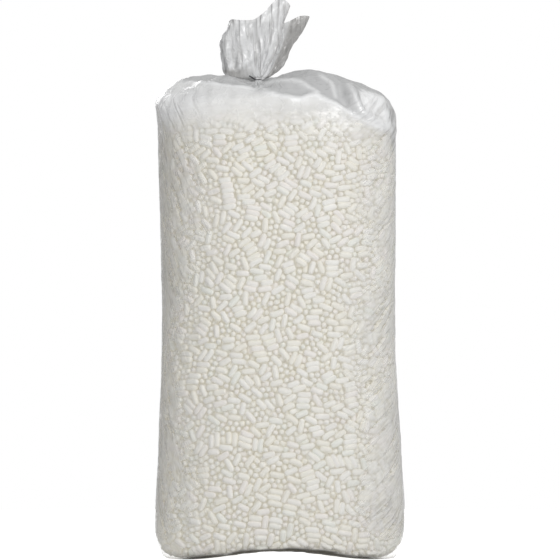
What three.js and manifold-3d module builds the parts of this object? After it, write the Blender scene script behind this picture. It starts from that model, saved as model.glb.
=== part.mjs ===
import * as THREE from "three";
import { LoftGeometry } from "three/addons/geometries/LoftGeometry.js";
import { mergeVertices } from "three/addons/utils/BufferGeometryUtils.js";
import Module from "manifold-3d";

// A clear film bag full of packing peanuts, with its neck gathered and tied with wire.
// Millimetres, +Z up, front towards -Y. The origin is on the floor under the middle of the bag.

// Film bag
const film = 1.2; // wall of the solid; the film itself is far thinner
const ringPoints = 48;
const archRise = 25; // the bottom bridges between the two lobes that it stands on
const archHalf = 180;
const archTop = 240; // height at which the arch has died out
const neck = { x: -60, z: 1312, radius: 10, channel: 1.5 };
const shoulderSwell = { x: 92, width: 80, rise: 15 }; // the fuller shoulder, on the far side from the neck
const mouthFrom = 1364; // the lobes of the mouth grow out of the tail from here
const mouthRing = 1468;

// Bottom seal
const sealDrop = 11;
const sealThickness = 1.2;
const sealHalf = 168;
const earFrom = { left: 305, right: 299 }; // the lobes' edges where the corners of the seal stick out
const earReach = 30;
const lowRows = 13; // rings of the skin that the seal is fitted to

// Peanuts
const peanut = { radius: 8.5, length: 42, sides: 8, bow: 3 };
const looseCount = 48;
const fillGap = 1.5; // between the mass of peanuts and the film
const heap = { edge: 1190, shoulder: 1198, crown: 1262, x: -8, halfWidth: 236, halfDepth: 168 };
const heapShares = [0.965, 0.91, 0.8, 0.62, 0.4, 0.18, 0]; // rings of the heap's top, out to in
const gap = 0.3;

// Wire tie
const wireRadius = 1.2;
const pigtail = { length: 26, turns: 2.4 };

// The outer skin, ring by ring from the middle of the bottom to the mouth:
// height, left edge, right edge, half depth, depth of the pleats
const skin = [
  [0, 0, 0, 0], // a point, where every ring faces straight down
  [0, -48, 48, 36],
  [0, -94, 94, 74],
  [0, -140, 140, 112],
  [0, -184, 184, 146],
  [0, -228, 228, 174],
  [0, -272, 268, 199],
  [6, -305, 299, 218],
  [24, -328, 321, 232],
  [58, -340, 338, 243],
  [120, -341, 342, 250],
  [220, -337, 337, 252],
  [370, -331, 328, 252],
  [540, -325, 319, 251],
  [720, -323, 316, 250],
  [900, -328, 318, 250],
  [1060, -332, 318, 249],
  [1160, -334, 317, 244],
  [1215, -337, 314, 233],
  [1250, -339, 299, 214, 2],
  [1272, -318, 276, 192, 4],
  [1290, -299, 236, 166, 6],
  [1304, -272, 192, 136, 7],
  [1313, -232, 146, 106, 7],
  [1317, -180, 92, 76, 7],
  [1316, -128, 32, 50, 6],
  [1308, -96, -20, 28, 4],
  [1304, -78, -42, 17],
  [1309, -70, -50, neck.radius],
  [1315, -70, -50, neck.radius],
  [1319, -80, -42, 13, 1],
  [1326, -116, -30, 18, 3],
  [1340, -142, -12, 24, 5],
  [1364, -151, 10, 29, 7],
  [1388, -160, 33, 34, 8],
  [1412, -168, 39, 38, 9],
  [1440, -160, 54, 42, 9],
  [mouthRing, -146, 70, 42, 8],
];

// Lobes of the mouth: angle in degrees, extra height, width in degrees
const lobes = [
  [205, 10, 44],
  [296, 60, 17],
  [8, 18, 24],
  [70, 10, 26],
];

const wasm = await Module();
wasm.setup();

function solid(geometry) {
  const bare = new THREE.BufferGeometry()
    .setAttribute("position", geometry.getAttribute("position"))
    .setIndex(geometry.index);
  const merged = mergeVertices(bare, 1e-3);
  return new wasm.Manifold(
    new wasm.Mesh({
      numProp: 3,
      vertProperties: merged.attributes.position.array,
      triVerts: new Uint32Array(merged.index.array),
    }),
  );
}

function geometryOf(made) {
  const mesh = made.getMesh();
  return new THREE.BufferGeometry()
    .setAttribute("position", new THREE.BufferAttribute(mesh.vertProperties, 3))
    .setIndex(new THREE.BufferAttribute(mesh.triVerts, 1));
}

function angleOf(point) {
  return (point / ringPoints) * Math.PI * 2;
}

function archAt(x, z) {
  const across = Math.min(1, Math.abs(x) / archHalf);
  const fade = Math.max(0, 1 - z / archTop);
  return archRise * Math.cos((across * Math.PI) / 2) ** 2 * fade ** 2;
}

function swellAt(x, z) {
  const shoulder = THREE.MathUtils.smoothstep(z, 1262, 1312) * (z < neck.z + 6 ? 1 : 0);
  return shoulder * shoulderSwell.rise * Math.exp(-(((x - shoulderSwell.x) / shoulderSwell.width) ** 2));
}

// How far the mouth stands above its ring at this angle.
function lobeAt(angle) {
  return lobes.reduce((sum, [degrees, height, width]) => {
    const off = angle - THREE.MathUtils.degToRad(degrees);
    const turn = Math.atan2(Math.sin(off), Math.cos(off));
    return sum + height * Math.exp(-((turn / THREE.MathUtils.degToRad(width)) ** 2));
  }, 0);
}

// A rounded rectangle far from the middle, nearly an ellipse at the neck.
function skinRing([z, left, right, depth]) {
  const squareness = 2 + 0.7 * THREE.MathUtils.smoothstep(depth, 30, 200);
  const rise = Math.max(0, (z - mouthFrom) / (mouthRing - mouthFrom)) ** 2;
  return Array.from({ length: ringPoints }, (_, point) => {
    const angle = angleOf(point);
    const [across, along] = [Math.cos(angle), Math.sin(angle)].map(
      (part) => Math.sign(part) * Math.abs(part) ** (2 / squareness),
    );
    const x = (left + right) / 2 + (across * (right - left)) / 2;
    return new THREE.Vector3(x, along * depth, z + archAt(x, z) + swellAt(x, z) + rise * lobeAt(angle));
  });
}

function pleat(angle) {
  return 0.6 * Math.cos(9 * angle + 0.6) + 0.4 * Math.cos(5 * angle + 2.2);
}

// The rings moved out along the surface's own normals, by millimetres that depend on the ring and the point.
function grow(rings, amount) {
  return rings.map((ring, row) =>
    ring.map((place, point) => {
      const up = rings[Math.min(row + 1, rings.length - 1)][point]
        .clone()
        .sub(rings[Math.max(row - 1, 0)][point]);
      const round = ring[(point + 1) % ringPoints]
        .clone()
        .sub(ring[(point + ringPoints - 1) % ringPoints]);
      const normal = round.lengthSq() ? round.cross(up).normalize() : new THREE.Vector3(0, 0, -1);
      return place.clone().addScaledVector(normal, amount(row, point));
    }),
  );
}

// The gathered film is packed solid at the neck, all but a narrow channel.
function wallAt(row) {
  const [z, , , depth] = skin[row];
  if (z < mouthRing / 2) return film;
  const packed = THREE.MathUtils.clamp((34 - depth) / (34 - neck.radius), 0, 1);
  return THREE.MathUtils.lerp(film, neck.radius - neck.channel, packed);
}

const outerRings = grow(skin.map(skinRing), (row, point) => (skin[row][4] ?? 0) * pleat(angleOf(point)));
const innerRings = grow(outerRings, (row) => -wallAt(row));

const materials = {
  film: new THREE.MeshStandardMaterial({
    color: 0xe9edee,
    roughness: 0.18,
    metalness: 0,
    transparent: true,
    opacity: 0.35,
  }),
  peanut: new THREE.MeshStandardMaterial({ color: 0xf1ecd9, roughness: 0.9, metalness: 0 }),
  wire: new THREE.MeshStandardMaterial({ color: 0x3a3b3d, roughness: 0.5, metalness: 0.2 }),
};

// The flat seal: it hangs under the arch, and its corners stick out past the lobes.
function sealShape() {
  const shape = new THREE.Shape();
  const steps = 12;
  const under = Array.from({ length: steps + 1 }, (_, step) => -sealHalf + (2 * sealHalf * step) / steps);
  under.forEach((x, step) => {
    const z = Math.max(archAt(x, 0) - sealDrop, 0.4);
    if (step === 0) shape.moveTo(x, z);
    else shape.lineTo(x, z);
  });
  under.reverse().forEach((x) => shape.lineTo(x, archAt(x, 0) + 8));
  return shape;
}

function earShape(side, edge) {
  const shape = new THREE.Shape();
  shape.moveTo(side * (edge - 22), 0);
  shape.lineTo(side * (edge + earReach - 14), 0);
  shape.lineTo(side * (edge + earReach), 22);
  shape.lineTo(side * (edge + earReach - 6), 34);
  shape.lineTo(side * (edge - 12), 30);
  return shape;
}

function upright(shape) {
  const geometry = new THREE.ExtrudeGeometry(shape, { depth: sealThickness, bevelEnabled: false });
  return geometry.translate(0, 0, -sealThickness / 2).rotateX(Math.PI / 2);
}

function bagFilm() {
  const skins = [...outerRings, ...innerRings.toReversed()];
  const shell = solid(new LoftGeometry(skins));
  const lowRings = grow(outerRings, () => -film / 2).slice(0, lowRows);
  const inside = solid(new LoftGeometry(lowRings, { capEnd: true }));
  const seal = [sealShape(), earShape(-1, earFrom.left), earShape(1, earFrom.right)];
  const joined = seal.reduce((made, shape) => made.add(solid(upright(shape)).subtract(inside)), shell);
  const mesh = new THREE.Mesh(geometryOf(joined), materials.film);
  mesh.name = "bag_film";
  return mesh;
}

// The peanuts against the film and behind them, as one mass with a heaped top.
function peanutFill() {
  const rows = skin.filter(([z]) => z < heap.edge).length;
  const side = grow(outerRings, (row) => -wallAt(row) - fillGap).slice(0, rows);
  const brim = side[rows - 1];
  const centre = new THREE.Vector3((skin[rows - 1][1] + skin[rows - 1][2]) / 2, 0, 0);
  const top = heapShares.map((share) =>
    brim.map((place) => {
      const z = THREE.MathUtils.lerp(heap.crown, heap.shoulder, share ** 2);
      return place.clone().sub(centre).multiplyScalar(share).add(centre).setZ(z);
    }),
  );
  const geometry = new LoftGeometry([...side, ...top]);
  const mesh = new THREE.Mesh(geometry, materials.peanut);
  mesh.name = "peanut_fill";
  return mesh;
}

function peanutGeometry(bow) {
  const half = peanut.length / 2;
  const profile = [
    [0, -half],
    [0.66, -half + 1.8],
    [1, -half + 6.5],
    [1, 0],
    [1, half - 6.5],
    [0.66, half - 1.8],
    [0, half],
  ].map(([share, y]) => new THREE.Vector2(share * peanut.radius, y));
  const geometry = new THREE.LatheGeometry(profile, peanut.sides);
  const place = geometry.attributes.position;
  for (let i = 0; i < place.count; i++)
    place.setX(i, place.getX(i) + bow * (1 - (place.getY(i) / half) ** 2) - bow / 2);
  return geometry;
}

// Loose peanuts lying on the heap, spread by the golden angle, every third one bowed.
function loosePeanuts(fill) {
  fill.geometry.computeBoundingSphere();
  const ray = new THREE.Raycaster();
  const down = new THREE.Vector3(0, 0, -1);
  return Array.from({ length: looseCount }, (_, index) => {
    const reach = Math.sqrt((index + 0.5) / looseCount);
    const turn = index * Math.PI * (3 - Math.sqrt(5));
    const above = new THREE.Vector3(
      heap.x + heap.halfWidth * reach * Math.cos(turn),
      heap.halfDepth * reach * Math.sin(turn),
      2 * heap.crown,
    );
    ray.set(above, down);
    const hit = ray.intersectObject(fill)[0];
    const normal = hit.face.normal;
    const heading = new THREE.Vector3(Math.cos(index * 1.9), Math.sin(index * 1.9), 0);
    const side = new THREE.Vector3().crossVectors(heading, normal).normalize();
    const axis = new THREE.Vector3().crossVectors(normal, side);
    const mesh = new THREE.Mesh(peanutGeometry(index % 3 ? 0 : peanut.bow), materials.peanut);
    mesh.quaternion.setFromRotationMatrix(new THREE.Matrix4().makeBasis(side, axis, normal.clone()));
    mesh.position.copy(hit.point).addScaledVector(normal, peanut.radius + gap);
    mesh.name = `peanut_${String(index + 1).padStart(2, "0")}`;
    return mesh;
  });
}

// A wire ring round the neck, with its two ends twisted together into a short tail.
function neckTie() {
  const ringRadius = neck.radius + gap + wireRadius;
  const ring = new THREE.TorusGeometry(ringRadius, wireRadius, 8, 32);
  const sections = Array.from({ length: 14 }, (_, step) => {
    const along = (pigtail.length * step) / 13;
    const turned = (pigtail.turns * Math.PI * 2 * step) / 13;
    return Array.from({ length: 10 }, (_, point) => {
      const angle = (point / 10) * Math.PI * 2;
      const reach = wireRadius * (1 + 0.9 * Math.cos(angle) ** 2);
      return new THREE.Vector3(reach * Math.cos(angle + turned), reach * Math.sin(angle + turned), along);
    });
  });
  const twist = new LoftGeometry(sections, { capStart: true, capEnd: true });
  const heading = new THREE.Vector3(-0.62, -0.7, 0.36).normalize();
  twist.applyQuaternion(new THREE.Quaternion().setFromUnitVectors(new THREE.Vector3(0, 0, 1), heading));
  const from = heading.clone().setZ(0).setLength(ringRadius);
  twist.translate(from.x, from.y, from.z);
  const mesh = new THREE.Mesh(geometryOf(solid(ring).add(solid(twist))), materials.wire);
  mesh.position.set(neck.x, 0, neck.z);
  mesh.name = "neck_tie";
  return mesh;
}

const bag = new THREE.Group();
const fill = peanutFill();
bag.add(bagFilm(), fill, neckTie(), ...loosePeanuts(fill));

// The origin goes to the middle of the footprint, on the floor.
const box = new THREE.Box3().setFromObject(bag, true);
const middle = box.getCenter(new THREE.Vector3());
bag.position.set(-middle.x, -middle.y, -box.min.z);

const part = new THREE.Group();
part.add(bag);

export default part;
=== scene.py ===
import math
import bpy
import numpy as np
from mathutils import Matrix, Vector
from mathutils.bvhtree import BVHTree


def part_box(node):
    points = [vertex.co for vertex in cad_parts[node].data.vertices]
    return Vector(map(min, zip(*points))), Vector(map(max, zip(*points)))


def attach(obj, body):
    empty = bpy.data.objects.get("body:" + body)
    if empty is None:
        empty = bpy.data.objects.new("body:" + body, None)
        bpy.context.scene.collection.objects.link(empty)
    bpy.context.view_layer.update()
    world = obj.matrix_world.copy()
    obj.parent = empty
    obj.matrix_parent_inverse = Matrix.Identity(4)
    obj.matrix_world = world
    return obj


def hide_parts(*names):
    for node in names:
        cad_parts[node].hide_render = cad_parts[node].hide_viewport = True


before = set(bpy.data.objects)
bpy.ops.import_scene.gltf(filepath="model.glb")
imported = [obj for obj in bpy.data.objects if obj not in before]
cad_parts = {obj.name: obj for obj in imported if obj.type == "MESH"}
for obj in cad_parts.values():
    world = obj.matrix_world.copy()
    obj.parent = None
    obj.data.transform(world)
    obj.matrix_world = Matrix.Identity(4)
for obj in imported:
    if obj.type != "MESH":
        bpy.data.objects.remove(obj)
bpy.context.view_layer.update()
mm = 0.001

# ------- helpers that every piece uses


def softNoise(points, size, seed):
    # smooth value noise from -1 to 1 over an (n, 3) array
    table = np.random.default_rng(seed).random((24, 24, 24))
    cell = points / size
    base = np.floor(cell).astype(int)
    part = cell - base
    part = part * part * (3 - 2 * part)
    total = 0
    for corner in np.ndindex(2, 2, 2):
        weight = np.prod(np.where(corner, part, 1 - part), axis=-1)
        spot = (base + corner) % 24
        total = total + weight * table[spot[..., 0], spot[..., 1], spot[..., 2]]
    return total * 2 - 1


def foldedNoise(points, size, seed, turns=7):
    # flat facets and sharp folds, as crumpled film has
    pick = np.random.default_rng(seed)
    bent = points + softNoise(points, size * 1.7, seed + 1)[..., None] * size * 0.25
    total = 0
    for turn in range(turns):
        way = pick.normal(size=3)
        way = way / np.linalg.norm(way)
        wave = bent @ way / (size * pick.uniform(0.6, 1.6)) + pick.random()
        total = total + np.abs(2 * (wave - np.floor(wave + 0.5)))
    return total / turns * 2 - 1


def smoothStep(value, low, high):
    part = np.clip((value - low) / (high - low), 0, 1)
    return part * part * (3 - 2 * part)


def rounded(values, at):
    # a curve through evenly spaced rows of values, read at fractional rows
    last = len(values) - 1
    row = np.clip(np.floor(at).astype(int), 0, last - 1)
    part = (at - row)[:, None]
    before, here = values[np.maximum(row - 1, 0)], values[row]
    there, after = values[row + 1], values[np.minimum(row + 2, last)]
    return 0.5 * (
        2 * here
        + (there - before) * part
        + (2 * before - 5 * here + 4 * there - after) * part**2
        + (3 * here - before - 3 * there + after) * part**3
    )


def gridNormals(grid):
    # outward normals of a (rows, columns, 3) sheet that closes on itself sideways
    up = np.gradient(grid, axis=0)
    sideways = np.roll(grid, -1, axis=1) - np.roll(grid, 1, axis=1)
    normal = np.cross(sideways, up)
    length = np.linalg.norm(normal, axis=-1, keepdims=True)
    return normal / np.maximum(length, 1e-12)


def gridFaces(rows, columns):
    row, column = np.mgrid[0 : rows - 1, 0:columns]
    side = (column + 1) % columns
    faces = [row * columns + column, row * columns + side]
    faces += [(row + 1) * columns + side, (row + 1) * columns + column]
    return np.stack(faces, -1).reshape(-1, 4)


def makePiece(name, points, faces, material, attributes=None):
    mesh = bpy.data.meshes.new(name)
    mesh.vertices.add(len(points))
    mesh.vertices.foreach_set("co", np.asarray(points, np.float32).ravel())
    sides = faces.shape[1]
    mesh.loops.add(faces.size)
    mesh.loops.foreach_set("vertex_index", np.asarray(faces, np.int32).ravel())
    mesh.polygons.add(len(faces))
    mesh.polygons.foreach_set("loop_start", np.arange(0, faces.size, sides, dtype=np.int32))
    mesh.update(calc_edges=True)
    mesh.validate()
    mesh.shade_smooth()
    for key, values in (attributes or {}).items():
        layer = mesh.attributes.new(key, "FLOAT", "POINT")
        layer.data.foreach_set("value", np.asarray(values, np.float32).ravel())
    piece = bpy.data.objects.new(name, mesh)
    bpy.context.scene.collection.objects.link(piece)
    mesh.materials.append(material)
    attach(piece, "root")
    return piece


# ------- node tools


def newMaterial(name):
    material = bpy.data.materials.new(name)
    material.use_nodes = True
    nodes = material.node_tree.nodes
    nodes.clear()
    output = nodes.new("ShaderNodeOutputMaterial")
    shader = nodes.new("ShaderNodeBsdfPrincipled")
    material.node_tree.links.new(shader.outputs["BSDF"], output.inputs["Surface"])
    return material, material.node_tree, shader


def addNode(tree, kind, settings=None, **values):
    node = tree.nodes.new(kind)
    for key, value in (settings or {}).items():
        setattr(node, key, value)
    for key, value in values.items():
        node.inputs[key].default_value = value
    return node


def join(tree, fromSocket, toSocket):
    tree.links.new(fromSocket, toSocket)


def mathNode(tree, operation, first, second=None, third=None):
    node = addNode(tree, "ShaderNodeMath", {"operation": operation})
    for slot, value in enumerate((first, second, third)):
        if value is None:
            continue
        if isinstance(value, (int, float)):
            node.inputs[slot].default_value = value
        else:
            join(tree, value, node.inputs[slot])
    return node.outputs[0]


def mixColour(tree, factor, first, second):
    node = addNode(tree, "ShaderNodeMix", {"data_type": "RGBA"})
    for socket, value in ((node.inputs[0], factor), (node.inputs[6], first), (node.inputs[7], second)):
        if isinstance(value, (tuple, list, int, float)):
            socket.default_value = value
        else:
            join(tree, value, socket)
    return node.outputs[2]


def rampNode(tree, value, stops):
    node = addNode(tree, "ShaderNodeValToRGB")
    ramp = node.color_ramp
    while len(ramp.elements) < len(stops):
        ramp.elements.new(0.5)
    for element, (place, colour) in zip(ramp.elements, stops):
        element.position = place
        element.color = (*colour, 1) if len(colour) == 3 else colour
    join(tree, value, node.inputs[0])
    return node.outputs[0]


# ------- the bag's skin: the same rings as its solid, made smooth

bag = {
    # height, left edge, right edge, half depth, depth of the pleats, in millimetres
    "rings": [
        (0, 0, 0, 0, 0),
        (0, -48, 48, 36, 0),
        (0, -94, 94, 74, 0),
        (0, -140, 140, 112, 0),
        (0, -184, 184, 146, 0),
        (0, -228, 228, 174, 0),
        (0, -272, 268, 199, 0),
        (6, -305, 299, 218, 0),
        (24, -328, 321, 232, 0),
        (58, -340, 338, 243, 0),
        (120, -341, 342, 250, 0),
        (220, -337, 337, 252, 0),
        (370, -331, 328, 252, 0),
        (540, -325, 319, 251, 0),
        (720, -323, 316, 250, 0),
        (900, -328, 318, 250, 0),
        (1060, -332, 318, 249, 0),
        (1160, -334, 317, 244, 0),
        (1215, -337, 314, 233, 0),
        (1250, -339, 299, 214, 2),
        (1272, -318, 276, 192, 4),
        (1290, -299, 236, 166, 6),
        (1304, -272, 192, 136, 7),
        (1313, -232, 146, 106, 7),
        (1317, -180, 92, 76, 7),
        (1316, -128, 32, 50, 6),
        (1308, -96, -20, 28, 4),
        (1304, -78, -42, 17, 1),
        (1309, -70, -50, 10, 0),
    ],
    "neck": -60,  # x of the tie
    "archRise": 25,
    "archHalf": 310,
    "archTop": 240,
    "swell": (92, 80, 15),  # x, width, rise of the fuller shoulder
    "frontDip": (-58, 46, 27),  # x, width, drop of the film in front of the neck
    "rows": 288,
    "columns": 316,
}
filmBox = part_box("bag_film")
shift = np.array([(filmBox[0].x + filmBox[1].x) / 2 - 0.5 * mm, (filmBox[0].y + filmBox[1].y) / 2, 0.0])


def skin(rows, columns):
    # the skin at fractional rings (m) and angles (k) as an (m, k, 3) array in millimetres
    table = rounded(np.array(bag["rings"], float), rows)
    z, left, right, depth, pleat = (table[:, i, None] for i in range(5))
    depth = np.maximum(depth, 0)
    power = 2 / (2 + 0.7 * smoothStep(depth, 30, 200))
    across, along = np.cos(columns)[None], np.sin(columns)[None]
    x = (left + right) / 2 + np.sign(across) * np.abs(across) ** power * (right - left) / 2
    y = np.sign(along) * np.abs(along) ** power * depth
    z = z + 0 * x
    arch = np.cos(np.minimum(np.abs(x) / bag["archHalf"], 1) * math.pi / 2) ** 2
    z = z + bag["archRise"] * arch * np.maximum(0, 1 - z / bag["archTop"]) ** 2
    middle, width, rise = bag["swell"]
    z = z + smoothStep(z, 1262, 1312) * rise * np.exp(-(((x - middle) / width) ** 2))
    middle, width, drop = bag["frontDip"]
    front = smoothStep(-y, 6, 55) * (1 - smoothStep(-y, 140, 215)) * (rows[:, None] > 18)
    z = z - drop * front * np.exp(-(((x - middle) / width) ** 2))
    places = np.stack([x, y, z], -1)
    waves = 0.6 * np.cos(9 * columns + 0.6) + 0.4 * np.cos(5 * columns + 2.2)
    return places + gridNormals(places) * (pleat * waves[None])[..., None]


def evenRows(count, first, last):
    # rings spaced evenly along the skin
    fine = np.linspace(first, last, 1500)
    lines = skin(fine, np.array([0, 0.5, 1, 1.5]) * math.pi)
    steps = np.linalg.norm(np.diff(lines, axis=0), axis=-1).mean(1)
    along = np.concatenate([[0], np.cumsum(steps + 1e-9)])
    return np.interp(np.linspace(0, along[-1], count), along, fine)


def angles(count):
    return np.arange(count) / count * 2 * math.pi


# ------- the space that the peanuts fill

fill = {
    "edge": 1190,  # heap's height at the film, then just inside it, then in the middle
    "shoulder": 1198,
    "crown": 1262,
    "inset": 2.0,
    "cell": 14.0,
}


def fillSurface():
    rings = bag["rings"]
    edgeRow = np.interp(fill["edge"], [r[0] for r in rings[6:20]], np.arange(6, 20))
    wall = skin(evenRows(90, 0, edgeRow), angles(120))
    wall = wall - gridNormals(wall) * fill["inset"]
    brim = wall[-1]
    middle = brim.mean(0)
    top = []
    for share in np.linspace(0.97, 0, 14):
        ring = (brim - middle) * share + middle
        lump = 16 * softNoise(ring, 120, 5) + 8 * softNoise(ring, 50, 6)
        rise = fill["shoulder"] + (fill["crown"] - fill["shoulder"]) * (1 - share**2)
        ring[:, 2] = rise + np.minimum(lump, 0) * min(1, 3 * (1 - share))
        top.append(ring)
    return np.concatenate([wall, top])


class Depths:
    # distance to the wall on a grid, positive inside, read between the grid's points
    def __init__(self, sheet, cell):
        rows, columns = sheet.shape[:2]
        points = sheet.reshape(-1, 3)
        tree = BVHTree.FromPolygons(points.tolist(), gridFaces(rows, columns).tolist())
        self.low = points.min(0) - 2 * cell
        self.cell = cell
        count = np.ceil((points.max(0) + 2 * cell - self.low) / cell).astype(int) + 1
        self.count = count
        values = np.zeros(count)
        for index in np.ndindex(*count):
            spot = Vector(self.low + np.array(index) * cell)
            near, normal, _, distance = tree.find_nearest(spot)
            values[index] = distance if (spot - near).dot(normal) < 0 else -distance
        self.values = values
        slopes = np.gradient(values, cell)
        self.slopes = np.stack(slopes, -1)

    def read(self, points):
        at = (points - self.low) / self.cell
        base = np.clip(np.floor(at).astype(int), 0, self.count - 2)
        part = at - base
        depth, slope = 0, 0
        for corner in np.ndindex(2, 2, 2):
            weight = np.prod(np.where(corner, part, 1 - part), axis=-1)
            spot = base + corner
            i, j, k = spot[:, 0], spot[:, 1], spot[:, 2]
            depth = depth + weight * self.values[i, j, k]
            slope = slope + weight[:, None] * self.slopes[i, j, k]
        slope = slope / np.maximum(np.linalg.norm(slope, axis=1, keepdims=True), 1e-9)
        return depth, slope


# ------- packing the peanuts: rods that push each other apart while they are pressed against the film

packing = {
    "radius": 8.3,
    "half": 12.3,  # half the distance between the centres of a peanut's round ends
    "layer": 40.0,  # how deep the peanuts that are modelled one by one go
    "share": 0.53,  # of that layer's space that they fill
    "rounds": 240,
    "seed": 21,
}


def neighbours(middle, reach):
    cell = np.floor((middle - middle.min(0)) / reach).astype(np.int64) + 1
    span = cell.max(0) + 2
    key = (cell[:, 0] * span[1] + cell[:, 1]) * span[2] + cell[:, 2]
    order = np.argsort(key, kind="stable")
    ranked = key[order]
    every = np.arange(len(middle))
    firsts, seconds = [], []
    for way in [w for w in np.ndindex(3, 3, 3) if w >= (1, 1, 1)]:
        dx, dy, dz = (part - 1 for part in way)
        target = key + (dx * span[1] + dy) * span[2] + dz
        low = np.searchsorted(ranked, target, "left")
        count = np.searchsorted(ranked, target, "right") - low
        a = np.repeat(every, count)
        within = np.arange(count.sum()) - np.repeat(np.cumsum(count) - count, count)
        b = order[np.repeat(low, count) + within]
        if way == (1, 1, 1):
            a, b = a[a < b], b[a < b]
        firsts.append(a)
        seconds.append(b)
    a, b = np.concatenate(firsts), np.concatenate(seconds)
    near = ((middle[a] - middle[b]) ** 2).sum(1) < reach**2
    return a[near], b[near]


def closest(p1, q1, p2, q2):
    # where two rods come nearest, as shares along each, and the way from the second to the first
    d1, d2, r = q1 - p1, q2 - p2, p1 - p2
    a, e = (d1 * d1).sum(1), (d2 * d2).sum(1)
    b, c, f = (d1 * d2).sum(1), (d1 * r).sum(1), (d2 * r).sum(1)
    s = np.clip((b * f - c * e) / np.maximum(a * e - b * b, 1e-3), 0, 1)
    t = np.clip((b * s + f) / e, 0, 1)
    s = np.clip((b * t - c) / a, 0, 1)
    apart = r + d1 * s[:, None] - d2 * t[:, None]
    return s, t, apart


def spread(total, rows, values):
    for axis in range(3):
        total[:, axis] += np.bincount(rows, values[:, axis], len(total))


def packPeanuts(depths):
    pick = np.random.default_rng(packing["seed"])
    radius, half = packing["radius"], packing["half"]
    size = (depths.count - 1) * depths.cell
    trial = depths.low + pick.random((400000, 3)) * size
    depth, slope = depths.read(trial)
    inside = (depth > radius) & (depth < radius + packing["layer"])
    space = np.prod(size) * ((depth > 0) & (depth < packing["layer"] + radius)).mean()
    each = math.pi * radius**2 * (2 * half + 4 / 3 * radius)
    count = int(space * packing["share"] / each)
    middle, slope = trial[inside][:count], slope[inside][:count]
    count = len(middle)
    way = pick.normal(size=(count, 3)) * [1, 1, 0.42]  # most lie flat, as they fell
    lying = np.where(pick.random((count, 1)) < 0.93, pick.uniform(0.45, 1.0, (count, 1)), 0)
    way -= slope * (way * slope).sum(1, keepdims=True) * lying
    way /= np.linalg.norm(way, axis=1, keepdims=True)
    p, q = middle - way * half, middle + way * half
    rest = pick.uniform(0, 1, count) ** 3 * 6  # a few stand a little off the film
    rounds = packing["rounds"]
    for step in range(rounds):
        if step % 6 == 0:
            a, b = neighbours((p + q) / 2, 2 * (radius + half) + 7)
        done = step / rounds
        push = 1.6 * (1 - done) ** 1.2 if done < 0.7 else 0
        for repeat in range(2):
            s, t, apart = closest(p[a], q[a], p[b], q[b])
            distance = np.linalg.norm(apart, axis=1)
            hit = distance < 2 * radius
            s, t, apart, distance = s[hit], t[hit], apart[hit], np.maximum(distance[hit], 1e-3)
            first, second = a[hit], b[hit]
            weight = (1 - s) ** 2 + s**2 + (1 - t) ** 2 + t**2
            move = apart / distance[:, None] * ((2 * radius - distance) / weight)[:, None]
            dp, dq = np.zeros_like(p), np.zeros_like(q)
            spread(dp, first, move * (1 - s)[:, None])
            spread(dq, first, move * s[:, None])
            spread(dp, second, -move * (1 - t)[:, None])
            spread(dq, second, -move * t[:, None])
            crowd = np.bincount(first, minlength=count) + np.bincount(second, minlength=count)
            ease = (1.5 / np.maximum(crowd, 1.5))[:, None]
            p, q = p + dp * ease, q + dq * ease
            depthP, slopeP = depths.read(p)
            depthQ, slopeQ = depths.read(q)
            if repeat == 0:  # towards the film, without turning
                room = np.minimum(push, np.maximum(np.minimum(depthP, depthQ) - radius - rest, 0))[:, None]
                out = (slopeP + slopeQ) / 2 * room
                p, q = p - out, q - out
                depthP, depthQ = depthP - room[:, 0], depthQ - room[:, 0]
            p = p + slopeP * np.maximum(radius - depthP, 0)[:, None]
            q = q + slopeQ * np.maximum(radius - depthQ, 0)[:, None]
            middle, way = (p + q) / 2, q - p
            way = way / np.linalg.norm(way, axis=1, keepdims=True) * half
            p, q = middle - way, middle + way
    s, t, apart = closest(p[a], q[a], p[b], q[b])
    overlap = np.maximum(2 * radius - np.linalg.norm(apart, axis=1), 0)
    worst = np.percentile(overlap[overlap > 0], 90)
    print(f"peanuts: {count} packed, overlaps {worst:.2f} mm at the 90th percentile")
    return (p + q) / 2, (q - p) / (2 * half)


# ------- materials

foam = {
    "white": (0.91, 0.90, 0.87, 1),
    "ivory": (0.90, 0.875, 0.80, 1),
    "pink": (0.90, 0.865, 0.835, 1),
    "green": (0.87, 0.88, 0.83, 1),
    "pores": 900.0,
    "glow": 0.10,  # light that has soaked through the foam
    "glowColour": (1.0, 0.97, 0.86, 1),
}
clear = {
    "milk": (0.95, 0.955, 0.96, 1),
    # grey is painted shade on the film above the load, at its sides, on the tail and on the ears
    "grey": (0.70, 0.705, 0.71, 1),
    "shade": (0.40, 0.39, 0.375, 1),  # of the lobe behind
    "haze": 0.03,
    "veil": 0.62,  # how much of what is behind it the film hides above the load
    "loft": 0.30,  # and how much more where it lies back from the front
    "edge": 0.5,
    "sides": 0.4,
    # painted shadow along the bottom edge of the film, dark and nearly opaque
    "bottomShadow": (0.10, 0.09, 0.07, 1),
    "through": 0.18,  # light that comes through it from behind
}
wire = {"colour": (0.035, 0.036, 0.04, 1), "wearAndStreakLight": (0.07, 0.07, 0.075, 1)}


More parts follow.
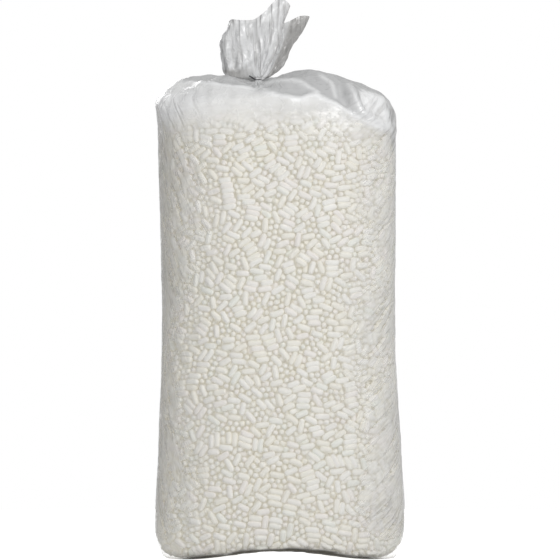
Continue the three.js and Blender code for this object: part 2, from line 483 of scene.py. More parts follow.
def cellGroup():
    # small cells in the skin of the foam
    tree = bpy.data.node_groups.new("foamCells", "ShaderNodeTree")
    tree.interface.new_socket("Scale", in_out="INPUT", socket_type="NodeSocketFloat")
    tree.interface.new_socket("Height", in_out="OUTPUT", socket_type="NodeSocketFloat")
    start, end = tree.nodes.new("NodeGroupInput"), tree.nodes.new("NodeGroupOutput")
    place = addNode(tree, "ShaderNodeTexCoord")
    cells = addNode(tree, "ShaderNodeTexVoronoi", {"feature": "SMOOTH_F1"})
    dents = addNode(tree, "ShaderNodeTexNoise", Scale=140.0, Detail=2.0)
    join(tree, place.outputs["Object"], cells.inputs["Vector"])
    join(tree, place.outputs["Object"], dents.inputs["Vector"])
    join(tree, start.outputs["Scale"], cells.inputs["Scale"])
    height = mathNode(tree, "MULTIPLY_ADD", dents.outputs[0], 2.5, cells.outputs["Distance"])
    join(tree, height, end.inputs["Height"])
    return tree


def wrinkleGroup():
    # creases in thin film, as a height and as a mask of their crests
    tree = bpy.data.node_groups.new("filmWrinkles", "ShaderNodeTree")
    tree.interface.new_socket("Size", in_out="INPUT", socket_type="NodeSocketFloat")
    tree.interface.new_socket("Drawn", in_out="INPUT", socket_type="NodeSocketFloat")
    tree.interface.new_socket("Tilt", in_out="INPUT", socket_type="NodeSocketFloat")
    tree.interface.new_socket("Around", in_out="INPUT", socket_type="NodeSocketFloat")
    tree.interface.new_socket("Height", in_out="OUTPUT", socket_type="NodeSocketFloat")
    tree.interface.new_socket("Crests", in_out="OUTPUT", socket_type="NodeSocketFloat")
    tree.interface.new_socket("Streaks", in_out="OUTPUT", socket_type="NodeSocketFloat")
    tree.interface.new_socket("Ridges", in_out="OUTPUT", socket_type="NodeSocketFloat")
    tree.interface.new_socket("GrooveShade", in_out="OUTPUT", socket_type="NodeSocketFloat")
    start, end = tree.nodes.new("NodeGroupInput"), tree.nodes.new("NodeGroupOutput")
    place = addNode(tree, "ShaderNodeTexCoord")
    unrolled = addNode(tree, "ShaderNodeCombineXYZ")
    split = addNode(tree, "ShaderNodeSeparateXYZ")
    join(tree, place.outputs["Object"], split.inputs[0])
    join(tree, start.outputs["Around"], unrolled.inputs["X"])
    join(tree, split.outputs["Z"], unrolled.inputs["Z"])
    turned = addNode(tree, "ShaderNodeVectorRotate", {"rotation_type": "Y_AXIS"})
    join(tree, unrolled.outputs[0], turned.inputs["Vector"])
    join(tree, start.outputs["Tilt"], turned.inputs["Angle"])
    stretch = addNode(tree, "ShaderNodeVectorMath", {"operation": "MULTIPLY"})
    stretch.inputs[1].default_value = (1.5, 0.8, 0.16)
    join(tree, turned.outputs[0], stretch.inputs[0])
    warp = addNode(tree, "ShaderNodeTexNoise", Scale=22.0, Detail=2.0)
    join(tree, place.outputs["Object"], warp.inputs["Vector"])
    noises = []
    for source, bend, detail in ((place.outputs["Object"], 0.018, 2.0), (stretch.outputs[0], 0.004, 1.0)):
        shifted = addNode(tree, "ShaderNodeVectorMath", {"operation": "MULTIPLY_ADD"})
        shifted.inputs[1].default_value = (bend, bend, bend)
        join(tree, warp.outputs["Color"], shifted.inputs[0])
        join(tree, source, shifted.inputs[2])
        noise = addNode(tree, "ShaderNodeTexNoise", Detail=detail, Roughness=0.5)
        join(tree, shifted.outputs[0], noise.inputs["Vector"])
        noises.append(noise)
    ripples, streaks = noises
    join(tree, start.outputs["Size"], ripples.inputs["Scale"])
    join(tree, mathNode(tree, "MULTIPLY", start.outputs["Size"], 1.6), streaks.inputs["Scale"])
    crests = []  # thin lines where the noise crosses its middle value
    for noise, sharpness in ((ripples, 26.0), (streaks, 9.0)):
        off = mathNode(tree, "ABSOLUTE", mathNode(tree, "SUBTRACT", noise.outputs[0], 0.5))
        crests.append(mathNode(tree, "MAXIMUM", mathNode(tree, "MULTIPLY_ADD", off, -sharpness, 1.0), 0.0))
    plain = mathNode(tree, "MULTIPLY", ripples.outputs[0], 1.3)
    plain = mathNode(tree, "MULTIPLY_ADD", crests[0], 0.28, plain)
    drawn = mathNode(tree, "MULTIPLY", streaks.outputs[0], 5.0)
    drawn = mathNode(tree, "MULTIPLY_ADD", crests[1], 0.6, drawn)
    height = mathNode(tree, "ADD", plain, mathNode(tree, "MULTIPLY", drawn, start.outputs["Drawn"]))
    join(tree, height, end.inputs["Height"])
    join(tree, crests[0], end.inputs["Crests"])
    join(tree, crests[1], end.inputs["Ridges"])
    # dark lines just beside each ridge, used for painted shade
    beside = mathNode(tree, "ABSOLUTE", mathNode(tree, "SUBTRACT", streaks.outputs[0], 0.42))
    grooveShade = mathNode(tree, "MULTIPLY_ADD", beside, -16.0, 1.0)
    join(tree, mathNode(tree, "MAXIMUM", grooveShade, 0.0), end.inputs["GrooveShade"])
    contrast = mathNode(tree, "MULTIPLY_ADD", mathNode(tree, "SUBTRACT", streaks.outputs[0], 0.5), 3.6, 0.5)
    contrast.node.use_clamp = True
    join(tree, contrast, end.inputs["Streaks"])
    return tree


def bumpNode(tree, height, shader, strength, distance):
    bump = addNode(tree, "ShaderNodeBump", Strength=strength, Distance=distance)
    join(tree, height, bump.inputs["Height"])
    join(tree, bump.outputs[0], shader.inputs["Normal"])


def readAttribute(tree, name):
    return addNode(tree, "ShaderNodeAttribute", {"attribute_name": name}).outputs["Fac"]


def foamMaterial():
    material, tree, shader = newMaterial("foam")
    tint = readAttribute(tree, "tint")
    stops = zip((0.0, 0.35, 0.62, 0.8, 1.0), ("white", "ivory", "white", "pink", "green"))
    colour = rampNode(tree, tint, [(place, foam[name]) for place, name in stops])
    join(tree, colour, shader.inputs["Base Color"])
    shader.inputs["Roughness"].default_value = 0.62
    shader.inputs["IOR"].default_value = 1.35
    shader.inputs["Emission Color"].default_value = foam["glowColour"]
    shader.inputs["Emission Strength"].default_value = foam["glow"]
    cells = tree.nodes.new("ShaderNodeGroup")
    cells.node_tree = cellGroup()
    cells.inputs["Scale"].default_value = foam["pores"]
    bumpNode(tree, cells.outputs["Height"], shader, 0.25, 0.0008)
    return material


def filmMaterial():
    material, tree, shader = newMaterial("film")
    veil, loft = readAttribute(tree, "veil"), readAttribute(tree, "loft")
    crease, side = readAttribute(tree, "crease"), readAttribute(tree, "side")
    tail = readAttribute(tree, "tail")
    wrinkles = tree.nodes.new("ShaderNodeGroup")
    wrinkles.node_tree = wrinkleGroup()
    wrinkles.inputs["Size"].default_value = 26.0
    drawn = mathNode(tree, "MAXIMUM", side, mathNode(tree, "MULTIPLY", tail, 0.8))
    join(tree, drawn, wrinkles.inputs["Drawn"])
    join(tree, readAttribute(tree, "tilt"), wrinkles.inputs["Tilt"])
    join(tree, readAttribute(tree, "around"), wrinkles.inputs["Around"])
    clouds = addNode(tree, "ShaderNodeTexNoise", Scale=9.0, Detail=4.0, Roughness=0.6)
    place = addNode(tree, "ShaderNodeTexCoord")
    join(tree, place.outputs["Object"], clouds.inputs["Vector"])
    cloud = mathNode(tree, "MULTIPLY", clouds.outputs[0], clouds.outputs[0])
    facing = addNode(tree, "ShaderNodeLayerWeight", Blend=0.25).outputs["Facing"]
    rim = mathNode(tree, "POWER", facing, 3.0)
    alpha = mathNode(tree, "MULTIPLY_ADD", cloud, 0.3, clear["haze"])
    alpha = mathNode(tree, "MULTIPLY_ADD", veil, clear["veil"], alpha)
    alpha = mathNode(tree, "MULTIPLY_ADD", loft, clear["loft"], alpha)
    alpha = mathNode(tree, "MULTIPLY_ADD", tail, 0.72, alpha)
    alpha = mathNode(tree, "MULTIPLY_ADD", crease, 0.5, alpha)
    streaked = mathNode(tree, "MULTIPLY_ADD", wrinkles.outputs["Streaks"], 0.7, 0.12)
    streaked = mathNode(tree, "MULTIPLY", side, streaked)
    alpha = mathNode(tree, "MULTIPLY_ADD", streaked, clear["sides"], alpha)
    # the painted shadow along the bottom edge is nearly opaque
    alpha = mathNode(tree, "MAXIMUM", alpha, readAttribute(tree, "bottomShadow"))
    # the ridges at the sides and on the tail: more opaque, and lighter in colour as a painted highlight
    ridgeHighlight = mathNode(tree, "MULTIPLY", wrinkles.outputs["Ridges"], mathNode(tree, "MAXIMUM", side, tail))
    alpha = mathNode(tree, "MULTIPLY_ADD", ridgeHighlight, 0.22, alpha)
    # the lines beside the ridges are more opaque and darkened with painted shade
    grooveShade = mathNode(tree, "MULTIPLY", wrinkles.outputs["GrooveShade"], mathNode(tree, "MAXIMUM", side, tail))
    alpha = mathNode(tree, "MULTIPLY_ADD", grooveShade, 0.24, alpha)
    standing = mathNode(tree, "MAXIMUM", veil, mathNode(tree, "MAXIMUM", side, tail))
    crests = mathNode(tree, "MULTIPLY", wrinkles.outputs["Crests"], standing)
    alpha = mathNode(tree, "MULTIPLY_ADD", crests, 0.07, alpha)
    alpha = mathNode(tree, "MULTIPLY_ADD", rim, clear["edge"], alpha)
    alpha = mathNode(tree, "MINIMUM", alpha, 0.96)
    join(tree, alpha, shader.inputs["Alpha"])
    # the film's colour: painted grey shade above the load, at the sides and on the tail; whiter on its
    # creases, as stressed film is
    greyShade = mathNode(tree, "MAXIMUM", loft, mathNode(tree, "MULTIPLY", tail, 0.2))
    greyShade = mathNode(tree, "MAXIMUM", greyShade, side)
    # lighter along the streaks at the sides and on the tail: a painted highlight that breaks the painted grey
    # shade into stripes
    wearAndStreakLight = mathNode(tree, "MULTIPLY", mathNode(tree, "MAXIMUM", side, tail), 0.7)
    wearAndStreakLight = mathNode(tree, "MULTIPLY", wrinkles.outputs["Streaks"], wearAndStreakLight)
    greyShade = mathNode(tree, "SUBTRACT", greyShade, wearAndStreakLight)
    greyShade = mathNode(tree, "MAXIMUM", greyShade, 0.0)
    greyShade = mathNode(tree, "SUBTRACT", greyShade, mathNode(tree, "ADD", crease, ridgeHighlight))
    colour = mixColour(tree, greyShade, clear["milk"], clear["grey"])
    # painted shade on the lobe behind, on the underside and on the lines beside the ridges
    shade = mathNode(tree, "MAXIMUM", readAttribute(tree, "shade"), mathNode(tree, "MULTIPLY", grooveShade, 0.45))
    colour = mixColour(tree, shade, colour, clear["shade"])
    # painted shadow and shade along the bottom edge
    join(tree, mixColour(tree, readAttribute(tree, "bottomShadow"), colour, clear["bottomShadow"]), shader.inputs["Base Color"])
    shader.inputs["Roughness"].default_value = 0.24
    shader.inputs["IOR"].default_value = 1.7
    height = mathNode(tree, "MULTIPLY_ADD", standing, 0.8, 0.2)
    height = mathNode(tree, "MULTIPLY", wrinkles.outputs["Height"], height)
    bumpNode(tree, height, shader, 0.55, 0.005)
    lit = mathNode(tree, "MULTIPLY", veil, mathNode(tree, "SUBTRACT", 1.0, loft))
    lit = mathNode(tree, "MAXIMUM", lit, crease)
    join(tree, mixColour(tree, lit, (0, 0, 0, 1), clear["milk"]), shader.inputs["Emission Color"])
    shader.inputs["Emission Strength"].default_value = clear["through"]
    return material


def wireMaterial():
    material, tree, shader = newMaterial("wire")
    scuffs = addNode(tree, "ShaderNodeTexNoise", Scale=400.0, Detail=3.0)
    colour = mixColour(tree, scuffs.outputs[0], wire["colour"], wire["wearAndStreakLight"])
    join(tree, colour, shader.inputs["Base Color"])
    shader.inputs["Roughness"].default_value = 0.42
    bumpNode(tree, scuffs.outputs[0], shader, 0.2, 0.0005)
    return material


foamLook, filmLook, wireLook = foamMaterial(), filmMaterial(), wireMaterial()

# ------- the peanuts

peanut = {
    "outer": {
        "sides": 9,  # then each ring's place along the peanut and its share of the radius
        "rings": [(-18.6, 0.62), (-15.2, 0.94), (-8, 1.02), (8, 1.02), (15.2, 0.94), (18.6, 0.62)],
    },
    "inner": {"sides": 6, "rings": [(-17, 0.8), (0, 1.0), (17, 0.8)]},
    "tip": 20.0,
    "bent": 0.28,  # share of them that are curved
    "deep": 19.0,  # those whose middle is further than this from the film get the plain shape
}


def peanutShape(kind):
    # one peanut along x, its surface points and triangles
    sides, rings = kind["sides"], kind["rings"]
    turn = np.arange(sides) / sides * 2 * math.pi
    points = [(-peanut["tip"], 0, 0)]
    for place, share in rings:
        radius = packing["radius"] * share
        points += [(place, radius * math.cos(a), radius * math.sin(a)) for a in turn]
    points.append((peanut["tip"], 0, 0))
    faces = []
    for side in range(sides):
        after = (side + 1) % sides
        faces.append((0, 1 + after, 1 + side))
        for row in range(len(rings) - 1):
            low, high = 1 + row * sides, 1 + (row + 1) * sides
            faces.append((low + side, low + after, high + side))
            faces.append((low + after, high + after, high + side))
        low = 1 + (len(rings) - 1) * sides
        faces.append((low + side, low + after, len(points) - 1))
    return np.array(points, float), np.array(faces)


def makePeanuts(name, kind, middle, way, pick):
    shape, faces = peanutShape(kind)
    count = len(middle)
    other = np.cross(way, pick.normal(size=(count, 3)))
    other /= np.linalg.norm(other, axis=1, keepdims=True)
    third = np.cross(way, other)
    size = pick.uniform(0.94, 1.04, (count, 1))
    along = shape[None, :, 0] * pick.uniform(0.86, 1.04, (count, 1))
    bend = np.where(pick.random((count, 1)) < peanut["bent"], pick.uniform(2.0, 5.0, (count, 1)), 0.3)
    bow = bend * (0.5 - (along / peanut["tip"]) ** 2)
    points = (
        middle[:, None]
        + along[..., None] * way[:, None]
        + (shape[None, :, 1] * size + bow)[..., None] * other[:, None]
        + (shape[None, :, 2] * size)[..., None] * third[:, None]
    )
    lists = faces[None] + (np.arange(count) * len(shape))[:, None, None]
    tint = np.repeat(pick.random(count), len(shape))
    points, lists = points.reshape(-1, 3), lists.reshape(-1, 3)
    return makePiece(name, points * mm + shift, lists, foamLook, {"tint": tint}), points, lists


wall = fillSurface()
depths = Depths(wall, fill["cell"])
middle, way = packPeanuts(depths)
distance, _ = depths.read(middle)
near = distance < peanut["deep"]
angle = np.arctan2(middle[:, 1] / 250, middle[:, 0] / 330)
sector = np.floor((angle / math.pi + 1.25) * 2).astype(int) % 4  # left, front, right, back
sector[(middle[:, 2] > fill["edge"] - 12) & (distance < 60)] = 4
sector[middle[:, 2] < 45] = 5
pick = np.random.default_rng(4)
outerPoints, outerFaces, used, peanutPieces = [], [], 0, []
for index, side in enumerate(["Left", "Front", "Right", "Back", "Top", "Base"]):
    chosen = near & (sector == index)
    piece, points, faces = makePeanuts("peanuts" + side, peanut["outer"], middle[chosen], way[chosen], pick)
    outerPoints.append(points)
    outerFaces.append(faces + used)
    used += len(points)
    peanutPieces.append(piece)
    print(f"peanuts{side}: {chosen.sum()} peanuts, {len(faces)} triangles")
piece, points, faces = makePeanuts("peanutsBehind", peanut["inner"], middle[~near], way[~near], pick)
peanutPieces.append(piece)
print(f"peanutsBehind: {(~near).sum()} peanuts, {len(faces)} triangles")
peanutTree = BVHTree.FromPolygons(np.concatenate(outerPoints).tolist(), np.concatenate(outerFaces).tolist())

# the rest of the load, behind the peanuts that are modelled one by one
core = wall - gridNormals(wall) * 34
lumps = 6 * softNoise(core.reshape(-1, 3), 22, 9).reshape(core.shape[:2])
core = core + gridNormals(wall) * lumps[..., None]
corePiece = makePiece(
    "peanutCore", core.reshape(-1, 3) * mm + shift, gridFaces(*core.shape[:2]), foamLook,
    {"tint": np.full(core.shape[0] * core.shape[1], 0.35)},
)
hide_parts("peanut_fill")
for piece in peanutPieces:
    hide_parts("peanut_fill")

# ------- the film

film = {
    "tailRows": 62,
    "clearance": 1.4,  # between the film and the peanuts that it lies on
    "reach": 12.0,  # peanuts further from the film than this aren't looked for
    "deepest": 4.5,  # that it sinks between them
    "loosen": 0.8,  # how far it stands off the skin's shape before that
    # where the film turns back from the front, above which it is painted grey as shade: x, height
    "loftLine": [
        (-345, 1312), (-248, 1303), (-206, 1298), (-151, 1290), (-82, 1281), (-43, 1269), (-6, 1262),
        (30, 1253), (57, 1250), (80, 1260), (98, 1263), (126, 1249), (167, 1231), (190, 1217),
        (231, 1190), (272, 1171), (299, 1169), (312, 1120), (345, 1120),
    ],
    "pocket": [(210, 1280), (231, 1217), (299, 1171), (277, 1259)],  # where the front shows through again
    # folds across the front: places, rise and width
    "folds": [
        ([(-50, 1282), (-28, 1266), (-6, 1261), (28, 1253), (57, 1250), (80, 1260), (98, 1263)], 7, 15),
        ([(98, 1263), (126, 1249), (167, 1231), (190, 1217), (231, 1190), (272, 1171)], 6, 16),
        ([(188, 1290), (194, 1268), (204, 1245), (216, 1224), (246, 1200), (274, 1184), (298, 1171)], 16, 24),
        ([(-64, 1308), (-66, 1292), (-58, 1276)], 3, 5),
        ([(-60, 1308), (-54, 1290), (-42, 1272)], 4, 5),
        ([(-54, 1308), (-40, 1294), (-24, 1280)], 3, 5),
        ([(-68, 1308), (-76, 1298), (-84, 1284)], 3, 5),
        ([(277, 1259), (290, 1215), (299, 1171)], 6, 12),
        ([(-255, 1302), (-206, 1298), (-151, 1291), (-82, 1282), (-50, 1278)], 4, 9),
        ([(302, 1290), (314, 1250), (318, 1200), (316, 1160)], 6, 9),
        ([(225, 1278), (262, 1262), (292, 1240)], 4, 14),
        ([(35, 1303), (70, 1290), (103, 1268)], 5, 16),
        ([(-38, 1294), (0, 1302), (35, 1303)], 4, 14),
        ([(110, 1318), (140, 1296), (152, 1262)], 4, 18),
        ([(-300, 1262), (-318, 1235), (-322, 1200)], 4, 9),
        ([(-338, 1240), (-300, 1225), (-262, 1226)], 3, 9),
    ],
    "pleats": (17, 2.2),  # number of them around the neck, and how high they stand
    "crumple": 5,  # of the film above the load
    "upright": 2.2,  # height of the creases at the sides, near the top
    "leaning": (3.4, 2.4),  # and lower down, at the right and at the left
    "lean": (0.95, 0.6),  # how far those lean outwards, in radians
    "tilt": (-0.95, -0.45),  # the same for the finer creases in the material
    "ears": (16, -7),  # how far the bottom corners are drawn out
    "bottomShade": 0.42,  # strength of the painted shade on the film just above the bottom edge
    "shadePatch": (-228, 1262, 0.45),  # x, height and strength of a patch of painted grey shade
    "valleys": [
        ([(160, 1300), (166, 1268), (180, 1236), (206, 1206), (238, 1182)], 9, 15),
        ([(220, 1250), (240, 1226), (276, 1200)], 6, 18),
    ],
}


def lineDistance(points, line):
    # distance in the front view from each point to a broken line, and how far along the line that is
    line = np.array(line, float)
    best, along = np.full(len(points), 1e9), np.zeros(len(points))
    for index, (start, end) in enumerate(zip(line[:-1], line[1:])):
        step = end - start
        share = np.clip(((points - start) @ step) / (step @ step), 0, 1)
        off = np.linalg.norm(points - start - share[:, None] * step, axis=1)
        along = np.where(off < best, (index + share) / (len(line) - 1), along)
        best = np.minimum(best, off)
    return best, np.sqrt(np.sin(math.pi * (0.06 + 0.88 * along)))


def drape(grid):
    # the film sinks a little between the peanuts behind it
    flat = grid.reshape(-1, 3)
    far = film["reach"]
    gap = [peanutTree.find_nearest(spot, far)[3] or far for spot in flat.tolist()]
    gap = np.array(gap).reshape(grid.shape[:2])
    sink = np.clip(gap - film["clearance"], 0, film["deepest"])
    limit = sink.copy()
    for _ in range(5):
        padded = np.concatenate([sink[:1], sink, sink[-1:]])
        beside = (np.roll(sink, 1, 1) + np.roll(sink, -1, 1) + padded[:-2] + padded[2:]) / 4
        sink = np.minimum(limit, 0.35 * sink + 0.65 * beside)
    return sink


bodyRows = bag["rows"] - film["tailRows"]
columns = angles(bag["columns"])
body = skin(evenRows(bodyRows, 0, len(bag["rings"]) - 1), columns)
normals = gridNormals(body)
body = body + normals * film["loosen"]
sink = drape(body)
x, y, z = body[..., 0], body[..., 1], body[..., 2]
held = 1 - smoothStep(z, fill["edge"] - 10, fill["shoulder"] + 22)
held = held * smoothStep(z, 4, 30)
front = smoothStep(-y, -5, 40)
places = np.stack([x, z], -1).reshape(-1, 2)
crease = np.zeros(x.shape)
rise = -sink * held * (1 - 0.6 * smoothStep(np.abs(x), 190, 300))
for line, height, width in film["folds"]:
    off, taper = (part.reshape(x.shape) for part in lineDistance(places, line))
    shape = np.maximum(0, 1 - off / width) * front * taper
    rise = rise + height * shape
    crease = np.maximum(crease, np.maximum(0, 1 - off / (0.55 * width)) * front)
for line, height, width in film["valleys"]:
    off, taper = (part.reshape(x.shape) for part in lineDistance(places, line))
    rise = rise - height * np.exp(-((off / width) ** 2)) * front * taper
toward = np.hypot(x - bag["neck"], y * 1.2)
gather = np.exp(-((toward / 85) ** 2)) * smoothStep(z, 1262, 1300)
fromNeck = np.arctan2(y, x - bag["neck"])
count, height = film["pleats"]
zigzag = np.abs(((fromNeck * count / (2 * math.pi) * 2) % 2) - 1) * 2 - 1
rise = rise + gather * height * zigzag * smoothStep(toward, 8, 30)
headspace = smoothStep(z, 1205, 1262)
crumple = foldedNoise(body.reshape(-1, 3), 60, 31).reshape(x.shape)
rise = rise + headspace * crumple * film["crumple"]
upright = foldedNoise(body.reshape(-1, 3) * [1, 1, 0.12], 26, 41, 5).reshape(x.shape)
middleRing = body[bodyRows // 2]
steps = np.linalg.norm(np.roll(middleRing, -1, 0) - middleRing, axis=1)
around = np.cumsum(steps) - steps[0]
around = np.abs(around - np.interp(0.75, columns / (2 * math.pi), around))
around = np.minimum(around, steps.sum() - around)[None] + 0 * x  # from the middle of the front, either way
lean = np.where(x > 0, *film["lean"])
along = around * np.sin(lean) + z * np.cos(lean)
across = around * np.cos(lean) - z * np.sin(lean)
drawn = np.stack([across, y * 0.1, along * 0.13], -1).reshape(-1, 3)
leaning = foldedNoise(drawn, 30, 43, 4).reshape(x.shape)
patchy = 60 * softNoise(body, 130, 45)
side = smoothStep(np.abs(x) + patchy - 20 * (x < 0), 120, 350)
side = side * smoothStep(z, 20, 110) * (1 - smoothStep(z, 1250, 1300))
tilt = np.where(x > 0, *film["tilt"])
high = smoothStep(z, 820, 980)
leaning = leaning * (1 - high) * np.where(x > 0, *film["leaning"])
rise = rise + side * (upright * high * film["upright"] + leaning)
# a dark band along the bottom edge and patches just above it: painted shadow and painted shade
rowNumber = evenRows(bodyRows, 0, len(bag["rings"]) - 1)[:, None]
bottomShadowTop = 7.0 + 0.35 * softNoise(body, 34, 47) + 0.3 * (1 - np.abs(x) / 300)
bottomShadow = (1 - smoothStep(rowNumber, bottomShadowTop, bottomShadowTop + 0.35)) * (1 - smoothStep(np.abs(x), 225, 300))
bottomShade = film["bottomShade"] * smoothStep(softNoise(body, 24, 49), -0.35, 0.6)
bottomShade = bottomShade * (1 - smoothStep(z - 25, 0, 34)) * (1 - smoothStep(np.abs(x), 120, 290))
bottomShadow = np.maximum(bottomShadow, bottomShade) * smoothStep(rowNumber, 5.4, 5.9)
body = body + normals * rise[..., None]
ear = smoothStep(np.abs(x), 235, 300) * (1 - smoothStep(z, 3, 26)) * smoothStep(-y, -30, 60)
body[..., 0] += np.where(x > 0, *film["ears"]) * ear
body[..., 2] -= 0.6 * z * ear
lineHeight = np.interp(x, [p[0] for p in film["loftLine"]], [p[1] for p in film["loftLine"]])
loft = smoothStep(z - lineHeight * front - 1262 * (1 - front), -7, 7)
within = np.full(x.shape, 99.0)
for start, end in zip(film["pocket"], film["pocket"][1:] + film["pocket"][:1]):
    stepX, stepZ = end[0] - start[0], end[1] - start[1]
    within = np.minimum(within, ((z - start[1]) * stepX - (x - start[0]) * stepZ) / math.hypot(stepX, stepZ))
loft = np.maximum(loft * (1 - smoothStep(within, -4, 8) * front), 0.7 * ear)
# a patch of painted grey shade, high up on the left of the front
middleX, middleZ, strength = film["shadePatch"]
shadePatch = strength * np.exp(-(((x - middleX) / 40) ** 2) - ((z - middleZ) / 28) ** 2) * front
loft = np.maximum(loft, shadePatch)
ragged = 22 * softNoise(body, 70, 13) + 10 * softNoise(body, 28, 14)
veil = smoothStep(z + ragged, 1110, 1255)

# the tail: from the tie to an outline of the gathered mouth, which is folded in an S
mouth = {
    "outline": [
        (80, 14, 1486), (58, 34, 1468), (10, 40, 1464), (-50, 42, 1474), (-110, 36, 1468),
        (-138, 18, 1460), (-141, -8, 1468), (-132, -30, 1476), (-105, -38, 1474), (-70, -36, 1476),
        (-40, -34, 1499), (-2, -30, 1533), (27, -24, 1512), (-4, -8, 1476), (-34, 4, 1462),
        (8, 6, 1467), (30, 4, 1475), (55, 6, 1487),
    ],
    "pleats": (23, 2.6),  # number of them, and how high they stand
    "crumple": 9,
    "fine": 3.2,
    "bulge": 26,  # of the left lobe, low down
}
outline = np.array(mouth["outline"], float)
looped = np.concatenate([outline, outline[:1]])
lengths = np.concatenate([[0], np.cumsum(np.linalg.norm(np.diff(looped, axis=0), axis=1))])
share = columns / (2 * math.pi)
at = np.interp(share * lengths[-1], lengths, np.arange(len(looped)))
wrapped = np.concatenate([outline[-2:], outline, outline[:3]])
rim = rounded(wrapped, at + 2)
tailRow = np.linspace(0, 1, film["tailRows"] + 1)[1:, None]
ring = body[-1]
leftness = smoothStep(-(rim[:, 0] + 75), -40, 60)
power = (0.6 - 0.46 * leftness)[None]
grown = tailRow**power
tail = np.zeros((film["tailRows"], len(columns), 3))
for axis in (0, 1):
    tail[..., axis] = ring[None, :, axis] * (1 - grown) + rim[None, :, axis] * grown
bulge = mouth["bulge"] * smoothStep(tailRow, 0, 0.07) * (1 - smoothStep(tailRow, 0.66, 1.0))
tail[..., 0] -= leftness[None] * bulge
tail[..., 2] = ring[None, :, 2] * (1 - tailRow) + rim[None, :, 2] * tailRow
turn = share * mouth["pleats"][0] * 2 + 0.15 * softNoise(tail, 40, 51)
pleat = np.abs((turn % 2) - 1) * 2 - 1
tailNormals = gridNormals(tail)
opened = smoothStep(tailRow, 0.0, 0.25)
crumple = foldedNoise(tail.reshape(-1, 3), 44, 61, 4).reshape(tail.shape[:2])
fine = foldedNoise(tail.reshape(-1, 3) * [1, 1, 0.5], 17, 71, 4).reshape(tail.shape[:2])
lift = pleat * mouth["pleats"][1] * (1 - 0.75 * tailRow)
lift = (lift + crumple * mouth["crumple"] + fine * mouth["fine"]) * opened
tail = tail + tailNormals * lift[..., None]
sheetGrid = np.concatenate([body, tail])
tailShare = np.repeat(smoothStep(tailRow, 0, 0.06), len(columns), 1)
tailShare = np.concatenate([np.zeros(body.shape[:2]), tailShare])


def withTail(values, amount=0.0):
    return np.concatenate([values, np.full(tail.shape[:2], amount)])


shaded = 0.85 * smoothStep(rim[:, 0], 12, 40)[None] + 0 * tailRow  # the lobe behind, and the underside
shaded = np.maximum(shaded, 0.85 * leftness[None] * (1 - smoothStep(tailRow, 0.12, 0.24)))
tailCrease = np.concatenate([np.zeros(body.shape[:2]), smoothStep(fine + crumple, 0.55, 1.0) * 0.8])
filmPiece = makePiece(
    "film",
    sheetGrid.reshape(-1, 3) * mm + shift,
    gridFaces(*sheetGrid.shape[:2]),
    filmLook,
    {
        "veil": withTail(veil),
        "loft": withTail(loft),
        "shade": np.concatenate([0 * loft, shaded]),
        "crease": withTail(crease * 0.6) + tailCrease,
        "side": withTail(side),
        "tilt": withTail(tilt),
        "around": np.concatenate([around, tail[..., 0]]) * mm,
        "bottomShadow": withTail(bottomShadow),
        "tail": tailShare,
    },
)
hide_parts("bag_film")
print(f"film: {len(filmPiece.data.polygons) * 2} triangles")

# ------- the pieces that are shown as they were built


def smoothGroup():
    tree = bpy.data.node_groups.new("smoothFaces", "GeometryNodeTree")
    tree.interface.new_socket("Geometry", in_out="INPUT", socket_type="NodeSocketGeometry")
    tree.interface.new_socket("Geometry", in_out="OUTPUT", socket_type="NodeSocketGeometry")
    start, end = tree.nodes.new("NodeGroupInput"), tree.nodes.new("NodeGroupOutput")
    smooth = tree.nodes.new("GeometryNodeSetShadeSmooth")
    tree.links.new(start.outputs[0], smooth.inputs["Geometry"])
    tree.links.new(smooth.outputs[0], end.inputs[0])
    return tree


smoothing = smoothGroup()


def soften(node, material, levels):
    weld = node.modifiers.new("weld", "WELD")
    weld.merge_threshold = 0.00002
    if levels:
        divide = node.modifiers.new("divide", "SUBSURF")
        divide.levels = divide.render_levels = levels
    node.modifiers.new("smooth", "NODES").node_group = smoothing
    node.data.materials.clear()
    node.data.materials.append(material)


for name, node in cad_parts.items():
    if name.startswith("peanut_") and name != "peanut_fill":
        soften(node, foamLook, 1)
    elif name == "neck_tie":
        soften(node, wireLook, 0)

# ------- floor, light and camera

studio = {
    "camera": (0.0, -14.0, 0.762),
    "spanHeight": 1.5375,  # of the frame, at the bag's middle
    "world": 0.6,
    "room": (0.12, 1.0, 0.5),  # how bright it is to the left, in front and to the right
    "floor": 3.0,
    "glow": 0.92,  # of the lit table, which keeps the shadow under the bag light
    "key": 57,
    "fill": 11,
    "back": 40,
}


def makeStage():
    rings, spokes = 24, 72
    points = [(0.0, 0.0, -0.0006)]
    for ring in range(1, rings + 1):
        reach = studio["floor"] * (ring / rings) ** 1.5
        for turn in np.arange(spokes) / spokes * 2 * math.pi:
            points.append((reach * math.cos(turn), reach * math.sin(turn), -0.0006))
    faces = [(0, 1 + i, 1 + (i + 1) % spokes) for i in range(spokes)]
    for ring in range(rings - 1):
        low, high = 1 + ring * spokes, 1 + (ring + 1) * spokes
        for i in range(spokes):
            after = (i + 1) % spokes
            faces.append((low + i, high + i, high + after, low + after))
    mesh = bpy.data.meshes.new("floor")
    mesh.from_pydata(points, [], faces)
    floor = bpy.data.objects.new("floor", mesh)
    bpy.context.scene.collection.objects.link(floor)
    material, tree, shader = newMaterial("paper")
    grain = addNode(tree, "ShaderNodeTexNoise", Scale=60.0)
    colour = mixColour(tree, grain.outputs[0], (0.84, 0.84, 0.84, 1), (0.86, 0.86, 0.86, 1))
    join(tree, colour, shader.inputs["Base Color"])
    shader.inputs["Roughness"].default_value = 0.9
    shader.inputs["Emission Color"].default_value = (1, 1, 1, 1)
    seen = addNode(tree, "ShaderNodeLightPath").outputs["Is Camera Ray"]
    join(tree, mathNode(tree, "MULTIPLY", seen, studio["glow"]), shader.inputs["Emission Strength"])
    mesh.materials.append(material)


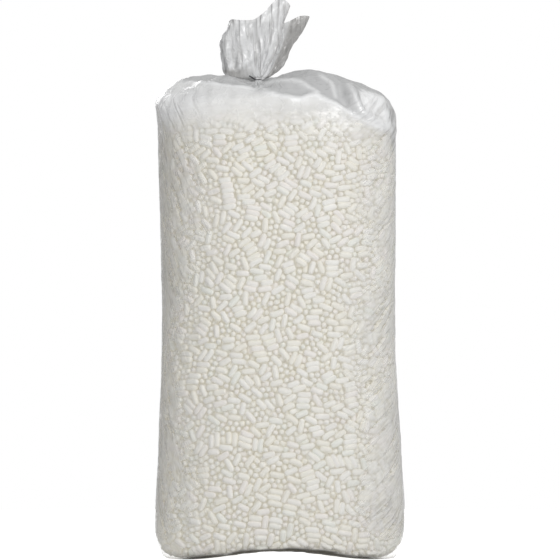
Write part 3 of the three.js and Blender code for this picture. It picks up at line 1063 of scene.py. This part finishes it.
def addLight(name, place, target, size, power):
    data = bpy.data.lights.new(name, "AREA")
    data.shape, data.size, data.size_y, data.energy = "RECTANGLE", size[0], size[1], power
    light = bpy.data.objects.new(name, data)
    light.location = place
    light.rotation_euler = (Vector(target) - Vector(place)).to_track_quat("-Z", "Y").to_euler()
    bpy.context.scene.collection.objects.link(light)


makeStage()
world = bpy.data.worlds.new("studio")
world.use_nodes = True
sky = world.node_tree
split = addNode(sky, "ShaderNodeSeparateXYZ")  # the room is darker to the left, and a little to the right
join(sky, addNode(sky, "ShaderNodeTexCoord").outputs["Generated"], split.inputs[0])
across = mathNode(sky, "MULTIPLY_ADD", split.outputs["X"], 0.5, 0.5)
shades = [(place, (value, value, value)) for place, value in zip((0.0, 0.5, 1.0), studio["room"])]
join(sky, rampNode(sky, across, shades), sky.nodes["Background"].inputs["Color"])
sky.nodes["Background"].inputs["Strength"].default_value = studio["world"]
plain = addNode(sky, "ShaderNodeBackground", Color=(1, 1, 1, 1), Strength=1.0)
either = addNode(sky, "ShaderNodeMixShader")  # lit by the room, with a plain white behind
join(sky, addNode(sky, "ShaderNodeLightPath").outputs["Is Camera Ray"], either.inputs[0])
join(sky, sky.nodes["Background"].outputs[0], either.inputs[1])
join(sky, plain.outputs[0], either.inputs[2])
join(sky, either.outputs[0], sky.nodes["World Output"].inputs["Surface"])
scene = bpy.context.scene
scene.world = world
addLight("key", (1.7, -3.6, 2.9), (0, 0, 0.8), (1.5, 1.5), studio["key"])
addLight("fill", (-0.9, -4.2, 1.4), (0, 0, 0.8), (1.8, 2.2), studio["fill"])
addLight("back", (-1.6, 3.9, 2.4), (0, 0, 0.8), (2.0, 2.0), studio["back"])
cameraData = bpy.data.cameras.new("camera")
cameraData.sensor_width = 36
reach = -studio["camera"][1]
cameraData.lens = 36 * reach / studio["spanHeight"]
camera = bpy.data.objects.new("camera", cameraData)
camera.location = studio["camera"]
camera.rotation_euler = (math.pi / 2, 0, 0)
scene.collection.objects.link(camera)
scene.camera = camera
scene.view_settings.view_transform = "Standard"
print("studio: done")
